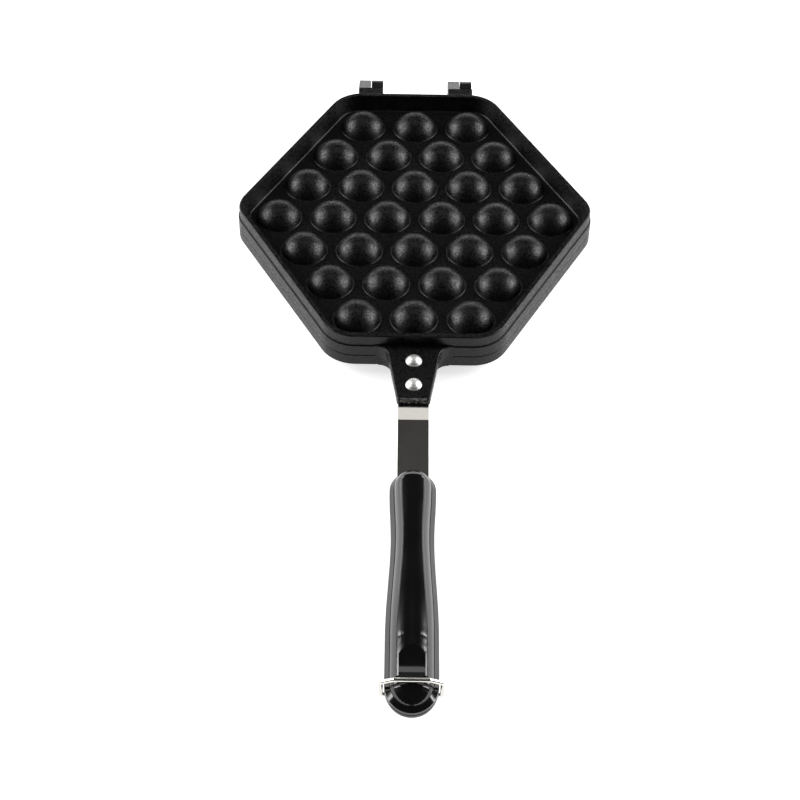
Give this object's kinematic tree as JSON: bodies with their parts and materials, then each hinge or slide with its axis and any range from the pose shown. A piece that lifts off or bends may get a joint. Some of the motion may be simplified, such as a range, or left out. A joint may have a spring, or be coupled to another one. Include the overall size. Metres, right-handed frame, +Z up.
{
  "type": "egg waffle pan",
  "caption": "Hinged stovetop egg waffle pan of cast plates with ball cells, riveted strap handles with moulded grips and a wire bail latch.",
  "frame": {"origin": "under the middle of the closed pan's length, on the surface that it stands on", "axes": "+X across, +Y from the grips to the hinges, +Z up out of the upper plate"},
  "size_m": [0.1814, 0.4166, 0.0254],
  "materials": {
    "coated_aluminium": "matte",
    "moulded_grip": "gloss",
    "strap_steel": "satin",
    "rivet_aluminium": "polished",
    "bail_wire": "polished",
    "pin_steel": "satin",
    "screw_steel": "satin"
  },
  "bodies": {
    "lower_half": {"lower_plate": "coated_aluminium", "hinge_pin_left": "pin_steel", "hinge_pin_right": "pin_steel", "lower_strap": "strap_steel", "lower_rivet_front": "rivet_aluminium", "lower_rivet_rear": "rivet_aluminium", "lower_grip": "moulded_grip", "lower_grip_screw_front": "screw_steel", "lower_grip_screw_rear": "screw_steel"},
    "upper_half": {"upper_plate": "coated_aluminium", "upper_strap": "strap_steel", "upper_rivet_front": "rivet_aluminium", "upper_rivet_rear": "rivet_aluminium", "upper_grip": "moulded_grip", "upper_grip_screw_front": "screw_steel", "upper_grip_screw_rear": "screw_steel"},
    "latch": {"latch_bail": "bail_wire"}
  },
  "joints": [
    {"name": "lid_hinge", "type": "hinge", "parent": "lower_half", "child": "upper_half", "pos_m": [0, 0.20215, 0.0127], "axis": [-1, 0, 0], "range_deg": [0, 180]},
    {"name": "latch_swing", "type": "hinge", "parent": "lower_half", "child": "latch", "pos_m": [0, -0.19285, 0.0052], "axis": [1, 0, 0], "range_deg": [0, 85]}
  ]
}
